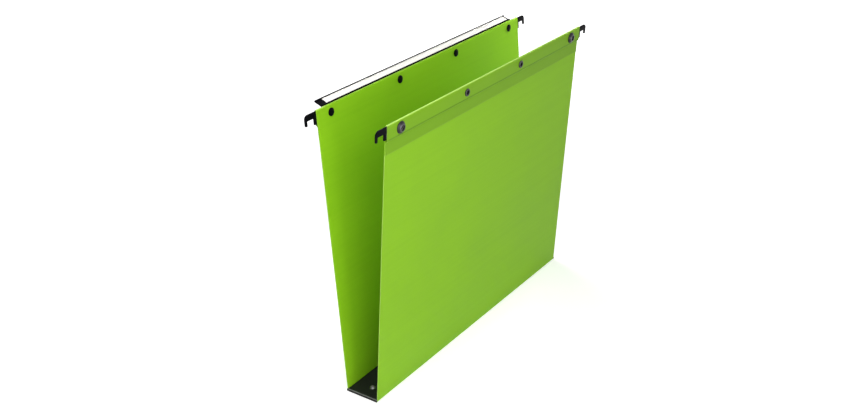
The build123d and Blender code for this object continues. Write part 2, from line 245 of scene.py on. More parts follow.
def length(finish, vector):
    """How long a vector is."""
    return finish.node("ShaderNodeVectorMath", {"operation": "LENGTH"}, {0: vector}, "Value")


def roughen(finish, height, strength, distance):
    """Fine relief that tilts the surface without moving it, its depth in millimetres."""
    inputs = {"Strength": strength, "Distance": distance * MM, "Height": height}
    finish.drive("Normal", finish.node("ShaderNodeBump", {}, inputs))


print("white as linear light:", srgb(255, 255, 255)[:3])

# %% [markdown]
# ## Green sheet
# Polypropylene sheet is dyed right through, and a little light gets into it. Its cut edges are painted
# paler, a painted glow of light through the edge. Its fold at the base is paler where the fold has
# stretched it, and the hem's crest is painted paler as a painted highlight. It is deeper where two layers
# lie on each other, as in the hem. It is dark along the hem's lower edge at the weld: partly the weld's
# own line and partly painted shade under the hem. A picture could hold all that, but the meshes can carry
# it themselves as four numbers at each point: layers, bend, weld and edge_glow. Each one tints the sheet
# by a share of its own. The sheet also has faint lines from the rollers, slow clouding, and a fine sandy
# grain.

# %% Green sheet finish
PAINTED_TINTS = [
    ("layers", 0.7, srgb(115, 161, 26)),
    # the bend tint is a painted highlight on the hem's crest, and stress whitening along the base fold
    ("bend", 0.8, srgb(206, 246, 128)),
    # this dark tint is partly the weld's own line and partly painted shade under the hem's lower edge
    ("weld", 0.6, srgb(66, 108, 0)),
    # painted light: this pale tint along the cut edges is a painted glow of light through the edge
    ("edge_glow", 0.7, srgb(180, 218, 104)),
]

green_sheet = Finish("green_sheet", {"IOR": 1.49, "Specular IOR Level": 0.13})
sheet_clouds = noise(green_sheet, scale=16.0, detail=3.0)
sheet_lines = noise(green_sheet, scale=1.0, stretch=(5.0, 320.0, 320.0))
sheet_grain = noise(green_sheet, scale=1400.0)
sheet_tone = 0.5 * sheet_clouds + 0.3 * sheet_lines + 0.2 * sheet_grain
sheet_colour = green_sheet.mix(sheet_tone, srgb(127, 182, 26), srgb(149, 205, 34))
for mark, share, tint in PAINTED_TINTS:
    sheet_colour = green_sheet.mix(share * painted(green_sheet, mark), sheet_colour, tint)
green_sheet.drive("Base Color", sheet_colour)
green_sheet.drive("Roughness", 0.4 + 0.1 * sheet_clouds + 0.08 * sheet_grain)
roughen(green_sheet, sheet_grain + 0.4 * sheet_lines, strength=0.12, distance=0.06)
print("green sheet has", len(green_sheet.tree.nodes), "nodes")

# %% [markdown]
# ## Black mouldings
# Hooks, rivet caps and the label channel are black plastic. A mould leaves a spark-eroded skin, finer
# than a grain of sand, and slow flow marks that only show in the gloss. One dark colour would hide both,
# so the colour wanders a little between a cool and a warm black, and the roughness wanders with the flow.

# %% Black moulded plastic
black_plastic = Finish("black_plastic", {"IOR": 1.5, "Specular IOR Level": 0.03})
plastic_flow = noise(black_plastic, scale=90.0, detail=3.0, stretch=(0.3, 1.0, 1.0))
plastic_skin = noise(black_plastic, scale=2600.0, detail=3.0)
plastic_tone = 0.6 * plastic_flow + 0.4 * plastic_skin
black_plastic.drive("Base Color", black_plastic.mix(plastic_tone, srgb(3, 3, 6), srgb(17, 16, 21)))
black_plastic.drive("Roughness", 0.32 + 0.22 * plastic_flow + 0.1 * plastic_skin)
roughen(black_plastic, plastic_skin, strength=0.2, distance=0.04)
print("black plastic has", len(black_plastic.tree.nodes), "nodes")

# %% [markdown]
# ## Base board
# The stiffener in the base is a thicker black board with a pressed grain, duller than the mouldings.
# Voronoi cells give a pebbled skin and a coarser noise leaves it slightly dusty. Along the walls it is
# painted darker: painted shade where the board meets the walls. The rounded edge at each end is painted a
# lighter grey: a painted highlight. These places are told apart by how far they lie from the folder's
# middle, so the board needs no paint on its mesh.

# %% Grained black board
WIDTH_WAY, DEPTH_WAY, HEIGHT_WAY = (1.0, 0.0, 0.0), (0.0, 1.0, 0.0), (0.0, 0.0, 1.0)
WALL_SHADE_FROM, WALL_SHADE_FULL = 13.8 * MM, 15.2 * MM
END_STARTS, END_FULL = 157.9 * MM, 158.2 * MM
TOP_STARTS, TOP_FULL = 1.75 * MM, 2.0 * MM

board_black = Finish("base_black", {"IOR": 1.5, "Specular IOR Level": 0.2})
board_place = board_black.node("ShaderNodeTexCoord", {}, {}, "Object")
board_grain = {"Vector": board_place, "Scale": 900.0}
board_cells = board_black.node("ShaderNodeTexVoronoi", {}, board_grain, "Distance")
board_dust = noise(board_black, scale=260.0, detail=4.0)
board_dusty = board_black.mix(0.5 * board_dust + 0.4 * board_cells, srgb(9, 10, 9), srgb(27, 28, 27))
beside_wall = between(board_black, abs(along(board_black, DEPTH_WAY)), WALL_SHADE_FROM, WALL_SHADE_FULL)
at_end = between(board_black, abs(along(board_black, WIDTH_WAY)), END_STARTS, END_FULL)
on_top = between(board_black, along(board_black, HEIGHT_WAY), TOP_STARTS, TOP_FULL)
# painted shade: the board is painted darker along the walls, where it meets them
board_wall_shaded = board_black.mix(beside_wall * (1 - at_end), board_dusty, srgb(6, 8, 5))
# painted highlight: the rounded top edge at each end is painted a lighter grey
board_black.drive("Base Color", board_black.mix(at_end * on_top, board_wall_shaded, srgb(118, 118, 116)))
board_black.drive("Roughness", 0.4 + 0.2 * board_dust)
roughen(board_black, board_cells + 0.5 * board_dust, strength=0.25, distance=0.08)
print("base board has", len(board_black.tree.nodes), "nodes")

# %% [markdown]
# ## Metals
# Studs, washers and eyelets are nickelled, the eyelets more brightly, the bars are rolled strip and the
# socket springs are dark spring wire. All of them are metal, so their colour is the colour of their
# reflection. Four separate node trees would repeat each other, so one function makes them, with the
# colours, the roughness and the stretch of the brushing as its choices.

# %% Metals from one recipe
EVEN_BRUSHING, LONG_BRUSHING = (1.0, 1.0, 1.0), (0.05, 1.0, 1.0)


def metal(name, dark, light, roughness, brushed=EVEN_BRUSHING):
    """A brushed and slightly stained metal. It keeps its colour signal for finishes that add to it."""
    finish = Finish(name, {"Metallic": 1.0})
    brushing = noise(finish, scale=700.0, detail=3.0, stretch=brushed)
    stains = noise(finish, scale=150.0, detail=3.0)
    finish.colour = finish.mix(0.5 * brushing + 0.5 * stains, dark, light)
    finish.drive("Base Color", finish.colour)
    finish.drive("Roughness", roughness + 0.18 * stains)
    roughen(finish, brushing, strength=0.15, distance=0.03)
    return finish


nickel = metal("nickelled_metal", srgb(52, 52, 53), srgb(94, 93, 94), 0.24)
bright_nickel = metal("bright_nickel", srgb(92, 92, 90), srgb(150, 149, 146), 0.16)
steel = metal("steel", srgb(120, 122, 124), srgb(176, 177, 178), 0.3, LONG_BRUSHING)
spring_wire = metal("spring_wire", srgb(16, 16, 19), srgb(44, 44, 48), 0.24)
print("metals:", [made.material.name for made in (nickel, bright_nickel, steel, spring_wire)])

# %% [markdown]
# ## White card
# The label is a strip of bare white card. Paper is never quite even: long fibres lie in it and its tooth
# catches the light. A plain white would look like plastic, so a stretched noise and a fine one share the
# work.

# %% White card finish
white_card = Finish("white_card", {"IOR": 1.45, "Specular IOR Level": 0.2})
card_fibres = noise(white_card, scale=500.0, detail=4.0, stretch=(0.2, 1.0, 1.0))
card_tooth = noise(white_card, scale=3200.0)
white_card.drive("Base Color", white_card.mix(card_fibres, srgb(246, 243, 235), srgb(255, 253, 247)))
white_card.drive("Roughness", 0.7 + 0.2 * card_tooth)
roughen(white_card, card_fibres + 0.5 * card_tooth, strength=0.15, distance=0.05)
print("white card has", len(white_card.tree.nodes), "nodes")

# %% [markdown]
# ## The walls' own frames
# Each wall leans out from its fold, so its pieces are easiest to draw in a frame of its own: x along the
# width, u outward from the middle of the sheet and v up from the fold, all in millimetres. The fold could
# be typed in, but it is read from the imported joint, so that what is drawn here turns about the same line.
# Heights are counted down from the hem's top.

# %% Two walls with their folds
SHEET = 0.5
BEND_RADIUS = 0.9
BAR_BELOW_TOP = 0.55
STUD_BELOW_BAR_TOP = 6.2
WELD_BELOW_BAR_TOP = 13.8
FLAP_HEIGHT = 11.2
CHANNEL_END = 147.5


class Wall:
    """A wall's frame: its fold, which way is out, its lean, its hem's top and a channel's reach over it."""

    def __init__(self, name, outward, lean, top, covered_to):
        joint = next(j for j in frame["joints"] if j["name"] == name + "_fold")
        self.name = name
        self.fold = Vector(joint["pos_m"])
        self.outward = outward
        self.lean = math.radians(lean)
        self.covered_to = covered_to
        self.bend = top - SHEET / 2 - BEND_RADIUS
        self.bar_top = top - BAR_BELOW_TOP
        self.stud_height = self.bar_top - STUD_BELOW_BAR_TOP
        self.weld = self.bar_top - WELD_BELOW_BAR_TOP
        self.flap_end = self.weld - FLAP_HEIGHT
        self.out = Vector((0.0, outward * math.cos(self.lean), -math.sin(self.lean)))
        self.rise = Vector((0.0, outward * math.sin(self.lean), math.cos(self.lean)))

    def point(self, x, u, v):
        """Where x, u and v lie in the folder's frame."""
        lift, slope = math.cos(self.lean), math.sin(self.lean)
        return self.fold + Vector((x, self.outward * (v * slope + u * lift), v * lift - u * slope)) * MM

    def plane(self, u):
        """Turns x and v, drawn flat, into the plane at u."""
        width = Vector(WIDTH_WAY)
        turn = Matrix((width, self.rise, width.cross(self.rise))).transposed().to_4x4()
        turn.translation = self.point(0.0, u, 0.0)
        return turn


front = Wall("front", outward=-1, lean=3.0, top=259.0, covered_to=0.0)
back = Wall("back", outward=1, lean=5.0, top=257.5, covered_to=CHANNEL_END)
WALLS = (front, back)
for wall in WALLS:
    crest = wall.point(0, 0, wall.bend + BEND_RADIUS)
    print(wall.name, "sheet's middle line tops out at", [round(c, 4) for c in crest])


# %% [markdown]
# ## Socket metal
# A socket's face keeps the plain nickel colour, while its side is painted dark: a painted shade, standing
# in for a dark reflection. The socket's height over the hem tells the two apart: it is a distance along the
# front wall's outward direction. The chamber behind the mouth is painted bright, painted light, so that the
# dark wire clip shows in it: it lies within a radius of the socket's axis. Painting points can't do this,
# because the solid has few of them.

# %% Socket finish, with painted shade on its side and painted light in its chamber
SOCKET_SHOULDER, SOCKET_FACE = 3.7 * MM, 4.3 * MM
SOCKET_REACH = 140.0 * MM
CHAMBER_INNER, CHAMBER_OUTER = 2.9 * MM, 3.2 * MM

socket_nickel = metal("socket_nickel", srgb(66, 65, 70), srgb(112, 110, 115), 0.26)
over_hem = along(socket_nickel, front.out) - front.fold.dot(front.out)
unshaded = between(socket_nickel, over_hem, SOCKET_SHOULDER, SOCKET_FACE)
aside = abs(along(socket_nickel, WIDTH_WAY)) - SOCKET_REACH
axis_height = front.fold.dot(front.rise) + front.stud_height * MM
above = along(socket_nickel, front.rise) - axis_height
from_axis = socket_nickel.node("ShaderNodeCombineXYZ", {}, {"X": aside, "Y": above})
chamber = 1 - between(socket_nickel, length(socket_nickel, from_axis), CHAMBER_INNER, CHAMBER_OUTER)
# painted shade darkens the socket's side, and painted light brightens its chamber
side_shade_chamber_light = socket_nickel.mix(chamber, srgb(54, 53, 55), srgb(190, 188, 184))
socket_nickel.drive("Base Color", socket_nickel.mix(unshaded, side_shade_chamber_light, socket_nickel.colour))
print("sockets are rubbed bright above", round(SOCKET_SHOULDER / MM, 2), "mm")


# %% [markdown]
# ## One sheet, bent
# Each wall is one strip of sheet: it leaves the base, turns up at the fold, runs up the wall, goes over
# the bar and comes down outside as a flap that is welded to the wall. Boxes would show seams at every
# bend. Drawing the middle line of the sheet once, with small arcs in place of its corners, keeps it one
# skin from the base to the flap's end. Its rows lie close together where the sheet bends or its finish
# changes, and far apart where it is plain.

# %% The middle line of a wall's sheet
FLAP_REST = 0.52
HEM_OUT = 2 * BEND_RADIUS
FOLD_REACH, FOLD_ROUND = 0.45, 0.42
HEM_SLANT, HEM_ROUND = 1.0, 0.6
BEND_STEPS, FLAP_STEP = 14, 3
LOW_ROWS = (1.2, 2, 3.5, 6, 10)
PLAIN_ROWS = range(20, 230, 10)
FLAP_END_ROWS, WELD_ROWS, BEND_ROWS = (-1, 0, 1), (-5, 0), (-6, -1)
HEM_MIDDLE_ROWS, HEM_FOOT_ROWS = (-5,), (2.9, 2.2, 1.7)
TAIL_ROWS = (-1.2, -1.6, -3, -5, -7, -9, -10.2, -10.8, -FLAP_HEIGHT)


def rows_at(height, offsets):
    """Heights that lie by small offsets from one height."""
    return [height + offset for offset in offsets]


def eased_corner(before, corner, after, radius, steps=5):
    """The points of a small arc that takes a corner's place."""
    corner = Vector(corner)
    back_way = (Vector(before) - corner).normalized()
    on_way = (Vector(after) - corner).normalized()
    half = back_way.angle(on_way) / 2
    centre = corner + (back_way + on_way).normalized() * (radius / math.sin(half))
    start = corner + back_way * (radius / math.tan(half)) - centre
    stop = corner + on_way * (radius / math.tan(half)) - centre
    first = math.atan2(start.y, start.x)
    swing = (math.atan2(stop.y, stop.x) - first + math.pi) % (2 * math.pi) - math.pi
    angles = [first + swing * step / steps for step in range(steps + 1)]
    return [centre + radius * Vector((math.cos(a), math.sin(a))) for a in angles]


def sheet_line(wall):
    """The sheet's middle line as (u, v) points, and the row at which its flap begins."""
    base_edge = (-FOLD_REACH * math.cos(wall.lean), -FOLD_REACH * math.sin(wall.lean))
    fold = eased_corner(base_edge, (0, 0), (0, wall.bend), FOLD_ROUND)
    heights = [*LOW_ROWS, *PLAIN_ROWS, *rows_at(wall.flap_end, FLAP_END_ROWS)]
    heights += [*rows_at(wall.weld, WELD_ROWS), *rows_at(wall.bend, BEND_ROWS)]
    upright = [Vector((0, v)) for v in heights]
    angles = [math.pi * step / BEND_STEPS for step in range(BEND_STEPS + 1)]
    arc = [(1 - math.cos(a), math.sin(a)) for a in angles]
    over = [Vector((BEND_RADIUS * u, wall.bend + BEND_RADIUS * v)) for u, v in arc]
    hem_heights = [*rows_at(wall.bend, HEM_MIDDLE_ROWS), *rows_at(wall.weld, HEM_FOOT_ROWS)]
    outside = [Vector((HEM_OUT, v)) for v in hem_heights]
    hem, weld = (HEM_OUT, wall.weld + HEM_SLANT), (FLAP_REST, wall.weld)
    bulge = eased_corner((HEM_OUT, wall.bend), hem, weld, HEM_ROUND)
    nip = eased_corner(hem, weld, (FLAP_REST, wall.flap_end), HEM_ROUND)
    tail = [Vector((FLAP_REST, v)) for v in rows_at(wall.weld, TAIL_ROWS)]
    flap = 1 + len(fold) + len(upright) + FLAP_STEP
    return [Vector(base_edge), *fold, *upright, *over, *outside, *bulge, *nip, *tail], flap


for wall in WALLS:
    line, flap_row = sheet_line(wall)
    print(wall.name, "sheet has", len(line), "rows, and its flap starts at row", flap_row)


# %% [markdown]
# ## Across the width
# The line will be repeated at places along the width. Even steps would be simplest, but the finish
# changes within a millimetre of the cut ends, so the places crowd there and at the flap's cut. Large
# plain areas of sheet also bow by a few tenths of a millimetre, which shows in the gloss. A Cloth
# simulation could give that, but two slow waves that fade towards the fold and the hem are enough.

# %% Places across the width, and the bow
PANEL_END = 158.0
HEM_NOTCH = 0.5
END_INSETS = (0, 0.3, HEM_NOTCH, 0.8, 1.4, 2.4, 4, 6, 10, 14)
PLAIN_COLUMNS = range(0, 140, 8)
BOW_STARTS, BOW_GROWS, BOW_FADES, BOW_ENDS = 8, 40, 30, 228
LONG_BOW, LONG_ACROSS, LONG_UP, LONG_SHIFT = 0.2, 61, 83, 0.7
SHORT_BOW, SHORT_ACROSS, SHORT_UP, SHORT_SHIFT = 0.1, 37, 59, 1.9


def columns():
    """Places across the width, crowded towards the ends and at the flap's cut."""
    half = sorted({*(PANEL_END - inset for inset in END_INSETS), *PLAIN_COLUMNS})
    return [-x for x in reversed(half[1:])] + half


def share_of(way, whole):
    """How much of a way is done, from 0 to 1."""
    return min(max(way / whole, 0.0), 1.0)


def bow(x, v):
    """How far the free sheet stands out from flat, in millimetres."""
    free = share_of(v - BOW_STARTS, BOW_GROWS) * share_of(BOW_ENDS - v, BOW_FADES)
    long_wave = LONG_BOW * math.sin(x / LONG_ACROSS + LONG_SHIFT) * math.sin(v / LONG_UP)
    short_wave = SHORT_BOW * math.sin(x / SHORT_ACROSS - v / SHORT_UP + SHORT_SHIFT)
    return free * (long_wave + short_wave)


print("each sheet has", len(columns()), "columns")

# %% [markdown]
# ## Numbers for the finish
# Each point of the sheet gets the four numbers that the green finish asks for. They could be painted by
# hand, but they follow from where a point lies: near a cut, on a bend, on a second layer or on the weld.
# So one function works them out from the wall, the place and the row. The glow near a cut and the paler
# hem's crest are painted light, and the dark at the weld is partly painted shade.

# %% Four numbers at each point
RIM_WIDTH = 0.7
DOUBLED_RIM_SHARE, FLAP_RIM_SHARE = 0.3, 0.25
CREST_HIGHLIGHT_SHARPNESS, SHADED_CREST_SHARE = 3, 0.1
FOLD_PALE_TO, FOLD_SHARE = 1.2, 0.5
TAIL_BELOW_WELD = 1.0
HEM_LAYERS, WALL_LAYERS = 0.88, 0.04
WELD_SHADE_ABOVE, WELD_SHADE_HALF = 1.7, 0.9


def sheet_numbers(wall, x, v, row, flap):
    """Edge glow, bend, layers and weld at one point of the sheet."""
    on_flap = row >= flap
    on_tail = row > flap and v < wall.weld - TAIL_BELOW_WELD
    end = PANEL_END - HEM_NOTCH if on_flap else PANEL_END
    # painted light: a pale glow along the cut edges, weaker where two layers lie and along the flap's cut
    edge_glow = 1 - share_of(end - abs(x), RIM_WIDTH)
    if v > wall.flap_end:
        edge_glow *= DOUBLED_RIM_SHARE
    if on_tail:
        edge_glow = max(edge_glow, FLAP_RIM_SHARE * (1 - (v - wall.flap_end) / RIM_WIDTH))
    # painted highlight along the hem's crest, where light from above falls on the fold
    crest = max(0.0, (v - wall.bend) / BEND_RADIUS) ** CREST_HIGHLIGHT_SHARPNESS
    # painted shade: under the label channel the crest's painted highlight is turned down
    if wall.covered_to > abs(x):
        crest *= SHADED_CREST_SHARE
    fold = FOLD_SHARE * max(0.0, 1 - v / FOLD_PALE_TO)
    layers, weld = WALL_LAYERS * (v > wall.flap_end), 0.0
    if on_flap:
        layers = 1.0 if on_tail else HEM_LAYERS
        # dark line on the hem's lower edge just above the weld: partly weld line, partly painted shade
        # under the hem
        weld = max(0.0, 1 - abs(v - wall.weld - WELD_SHADE_ABOVE) / WELD_SHADE_HALF)
    return edge_glow, max(crest, fold), layers, weld


hem_top = sheet_numbers(front, 0.0, front.bend + BEND_RADIUS, row=0, flap=1)
print("rim, bend, layers and weld at the hem's top:", [round(number, 2) for number in hem_top])


# %% [markdown]
# ## From a line to a skin
# Neighbouring points of the grid are now joined into faces. Blender has a ready-made grid, but a flap is
# a little shorter than its wall, so the outermost points of its rows are left out here, and a face is
# made only where all four of its corners are there.

# %% Build the two skins
def mesh_from(name, shape):
    """A mesh of what was drawn."""
    mesh = bpy.data.meshes.new(name)
    shape.to_mesh(mesh)
    shape.free()
    return mesh


def skin_mesh(wall):
    """A wall's sheet as a skin without thickness, with its numbers on its points."""
    points, flap = sheet_line(wall)
    across = columns()
    shape = bmesh.new()
    marks = [shape.verts.layers.float.new(name) for name in ("edge_glow", "bend", "layers", "weld")]
    grid = {}
    for row, (u, v) in enumerate(points):
        for x in across:
            if row < flap or abs(x) <= PANEL_END - HEM_NOTCH:
                lift = bow(x, v) if row < flap else 0.0
                vert = shape.verts.new(wall.point(x, u + lift, v))
                for mark, number in zip(marks, sheet_numbers(wall, x, v, row, flap)):
                    vert[mark] = number
                grid[row, x] = vert
    for row in range(len(points) - 1):
        for x, beside in zip(across, across[1:]):
            corners = [(row, x), (row, beside), (row + 1, beside), (row + 1, x)]
            if all(corner in grid for corner in corners):
                shape.faces.new([grid[corner] for corner in corners])
    return mesh_from(wall.name + "_sheet", shape)


skins = {wall.name: skin_mesh(wall) for wall in WALLS}
print({name: len(mesh.polygons) for name, mesh in skins.items()}, "faces in the skins")


# %% [markdown]
# ## From a mesh to a piece
# Real sheet and mouldings have no knife-sharp edges, and every new piece goes through the same steps for
# that: an object with its finish, rounded edges, and shading that is smooth only over shallow angles. The
# modifiers could stay on the pieces, but their result is written into the mesh.

# %% Helpers for new pieces
SMOOTH_TO = math.radians(38)


def new_piece(name, mesh, finish):
    """A piece of the folder with its finish."""
    piece = bpy.data.objects.new(name, mesh)
    bpy.context.scene.collection.objects.link(piece)
    piece.data.materials.append(finish.material)
    return piece


def round_edges(piece, width, angle):
    """Rounds the edges that are steeper than an angle in degrees."""
    rounding = piece.modifiers.new("rounded_edges", "BEVEL")
    rounding.width = width * MM
    rounding.segments = 2
    rounding.limit_method = "ANGLE"
    rounding.angle_limit = math.radians(angle)


def freeze(piece):
    """Writes what the modifiers made into the piece's own mesh."""
    depsgraph = bpy.context.evaluated_depsgraph_get()
    seen = piece.evaluated_get(depsgraph)
    mesh = bpy.data.meshes.new_from_object(seen, preserve_all_data_layers=True, depsgraph=depsgraph)
    piece.modifiers.clear()
    piece.data = mesh


def finish_mesh(mesh):
    """Outward faces, smooth over shallow angles and sharp over steep ones."""
    shape = bmesh.new()
    shape.from_mesh(mesh)
    bmesh.ops.recalc_face_normals(shape, faces=shape.faces)
    shape.to_mesh(mesh)
    shape.free()
    mesh.shade_smooth()
    mesh.set_sharp_from_angle(angle=SMOOTH_TO)


print("edges are smooth up to", round(math.degrees(SMOOTH_TO)), "degrees")

# %% [markdown]
# ## Thickness and rounded edges
# A Solidify modifier gives the skin its 0.5 mm, half to each side, and a small Bevel rounds the cut edges
# so that they catch light.

# %% Solid sheets that bend at the folds
SHEET_EDGE, SHEET_EDGE_ANGLE = 0.12, 60

for wall in WALLS:
    sheet = new_piece(wall.name + "_sheet", skins[wall.name], green_sheet)
    thickness = sheet.modifiers.new("sheet_thickness", "SOLIDIFY")
    thickness.thickness = SHEET * MM
    thickness.offset = 0.0
    thickness.use_even_offset = True
    round_edges(sheet, SHEET_EDGE, SHEET_EDGE_ANGLE)
    freeze(sheet)
    finish_mesh(sheet.data)
    wall.point(0, 0, FOLD_REACH)
    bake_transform(sheet)
    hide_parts(wall.name + "_panel")
    print(sheet.name, "has", len(sheet.data.polygons), "faces")


# %% [markdown]
# ## Outlines and runs
# The label channel is the same all along: one section, run straight from end to end. The eyelets are one
# section, turned about an axis. The hooks are the same all through their thickness. So each is drawn once
# as a closed outline, with small arcs for its corners. A run then joins rings of points from station to
# station, and a function says where each point of the section goes. Blender's own spin and extrude would
# do each job alone, but one helper does both.

# %% An outline and its run
CORNER_STEPS = 6


def rounded_outline(corners):
    """A closed outline from ((x, y), radius) corners."""
    places = [place for place, radius in corners]
    outline = []
    for i, (place, radius) in enumerate(corners):
        before, after = places[i - 1], places[(i + 1) % len(places)]
        outline += eased_corner(before, place, after, radius, CORNER_STEPS) if radius else [Vector(place)]
    return outline


def add_run(shape, section, stations, place, turned=False):
    """Runs a section through the stations and closes both ends, or joins them if the piece is turned."""
    rings = [[shape.verts.new(place(station, *point)) for point in section] for station in stations]
    pairs = list(zip(rings, rings[1:]))
    if turned:
        pairs.append((rings[-1], rings[0]))
    else:
        shape.faces.new(rings[0])
        shape.faces.new(rings[-1])
    for one, other in pairs:
        for i in range(len(section)):
            shape.faces.new((one[i - 1], one[i], other[i], other[i - 1]))


eased_square = rounded_outline([((x, y), 1) for x, y in ((0, 0), (9, 0), (9, 9), (0, 9))])
print("a square with eased corners has", len(eased_square), "points")

# %% [markdown]
# ## Flat mouldings
# A hook is a flat nylon moulding with a rounded edge. A box with a bevel can't give its outline, but a 2D
# curve can: Blender fills it, and its extrude and bevel settings give the thickness and the round. The
# offset draws the outline in by the round's size, so that the moulding keeps its size.

# %% A flat moulding from an outline
MERGE_WITHIN = 0.001 * MM


def flat_moulding(name, outline, thickness, edge):
    """A flat mesh of an outline, as thick as it says, with its edges rounded."""
    curve = bpy.data.curves.new(name, "CURVE")
    curve.dimensions = "2D"
    curve.fill_mode = "BOTH"
    curve.extrude = (thickness / 2 - edge) * MM
    curve.bevel_depth = edge * MM
    curve.bevel_resolution = 2
    curve.offset = -edge * MM
    spline = curve.splines.new("POLY")
    spline.points.add(len(outline) - 1)
    for point, (x, y) in zip(spline.points, outline):
        point.co = (x * MM, y * MM, 0.0, 1.0)
    spline.use_cyclic_u = True
    drawing = bpy.data.objects.new(name, curve)
    mesh = bpy.data.meshes.new_from_object(drawing)
    bpy.data.objects.remove(drawing)
    shape = bmesh.new()
    shape.from_mesh(mesh)
    bmesh.ops.remove_doubles(shape, verts=shape.verts, dist=MERGE_WITHIN)
    shape.to_mesh(mesh)
    shape.free()
    mesh.materials.clear()
    return mesh


print("flat mouldings are ready")

# %% [markdown]
# ## Hooks
# Each hook has an arm that carries on from the bar, a slot that sits on the rail, and a short outer leg
# with a rounded crown. A thinner tang lies inside the folded bar. The four differ only in their wall and
# their end, so one outline in the wall's x and v is enough: the sign of the end mirrors it.

# %% Make the four hooks
HOOK_PLANE, HOOK_THICKNESS, HOOK_EDGE = 0.9, 1.3, 0.12
HOOK_BELOW_BAR_TOP = 0.35
ARM_HEIGHT, OUTER_LEG, INNER_LEG = 5.1, 4.1, 5.8
CROWN_ROUND, TIP_ROUND, NECK_ROUND = 3.6, 0.5, 0.3
SLOT_INNER, SLOT_OUTER, HOOK_END = 160.8, 169.2, 171.6
TANG_END, TANG_HEIGHT, TANG_THICKNESS, TANG_EDGE = 132.0, 7.4, 0.6, 0.1
TANG_IN_HOOK = 1.0


def hook_outline(wall):
    """The blade's outline, clockwise from where its top meets the hem."""
    top = wall.bar_top - HOOK_BELOW_BAR_TOP
    slot = top - ARM_HEIGHT
    return rounded_outline([
        ((PANEL_END, top), NECK_ROUND),
        ((HOOK_END, top), CROWN_ROUND),
        ((HOOK_END, slot - OUTER_LEG), TIP_ROUND),
        ((SLOT_OUTER, slot - OUTER_LEG), TIP_ROUND),
        ((SLOT_OUTER, slot), TIP_ROUND),
        ((SLOT_INNER, slot), TIP_ROUND),
        ((SLOT_INNER, slot - INNER_LEG), TIP_ROUND),
        ((PANEL_END, slot - INNER_LEG), NECK_ROUND),
    ])


def hook_mesh(wall, side):
    """Blade and tang of one hook, in the wall's plane."""
    outline = [(side * x, v) for x, v in hook_outline(wall)]
    blade = flat_moulding("blade", outline, HOOK_THICKNESS, HOOK_EDGE)
    low, high = wall.stud_height - TANG_HEIGHT / 2, wall.stud_height + TANG_HEIGHT / 2
    near, far = side * TANG_END, side * (SLOT_INNER - TANG_IN_HOOK)
    strip = [(near, low), (far, low), (far, high), (near, high)]
    tang = flat_moulding("tang", strip, TANG_THICKNESS, TANG_EDGE)
    shape = bmesh.new()
    shape.from_mesh(blade)
    shape.from_mesh(tang)
    shape.to_mesh(blade)
    shape.free()
    blade.transform(wall.plane(HOOK_PLANE))
    finish_mesh(blade)
    return blade


for wall in WALLS:
    for end, side in (("left", -1), ("right", 1)):
        name = f"{wall.name}_{end}_moulded_hook"
        hook = new_piece(name, hook_mesh(wall, side), black_plastic)
        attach(hook, wall.name + "_wall")
        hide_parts(f"{wall.name}_{end}_hook")
        print(hook.name, "has", len(hook.data.polygons), "faces")

# %% [markdown]
# ## The label channel's section
# The channel is a black extrusion: a leg that the back studs clamp to the hem, and a tilted tray with two
# lips that hold the label. Its section has many corners. They could be typed in as u and v, but the tray
# is tilted, so they are named by how deep they lie in the tray, from its near side, and how high above
# its underside.

# %% Draw the channel's section
TRAY_TILT = math.radians(25)
TRAY_DEPTH, TRAY_WALL, TRAY_LIP_REACH = 8.3, 0.5, 0.6
TRAY_FLOOR, TRAY_UNDER_LIP, TRAY_HEIGHT = 0.6, 1.2, 1.6
TRAY_RISE = 0.4
LEG_THICKNESS, LEG_BELOW_BAR_TOP = 1.0, 10.6
SHARP, LIP_ROUND, EDGE_ROUND, TRAY_ROUND, ROOT_ROUND = 0, 0.1, 0.15, 0.2, 0.4
HEM_FACE = HEM_OUT + SHEET / 2
LEG_FACE = HEM_FACE + LEG_THICKNESS


def tray_point(deep, high):
    """A point of the tilted tray in the back wall's u and v."""
    near_u = HEM_FACE + TRAY_HEIGHT * math.sin(TRAY_TILT)
    near_v = back.bar_top + BAR_BELOW_TOP + TRAY_RISE - TRAY_HEIGHT * math.cos(TRAY_TILT)
    u = near_u + deep * math.cos(TRAY_TILT) - high * math.sin(TRAY_TILT)
    v = near_v + deep * math.sin(TRAY_TILT) + high * math.cos(TRAY_TILT)
    return u, v


def under_tray(u):
    """The point of the tray's underside at u."""
    near_u, near_v = tray_point(0, 0)
    return u, near_v + (u - near_u) * math.tan(TRAY_TILT)


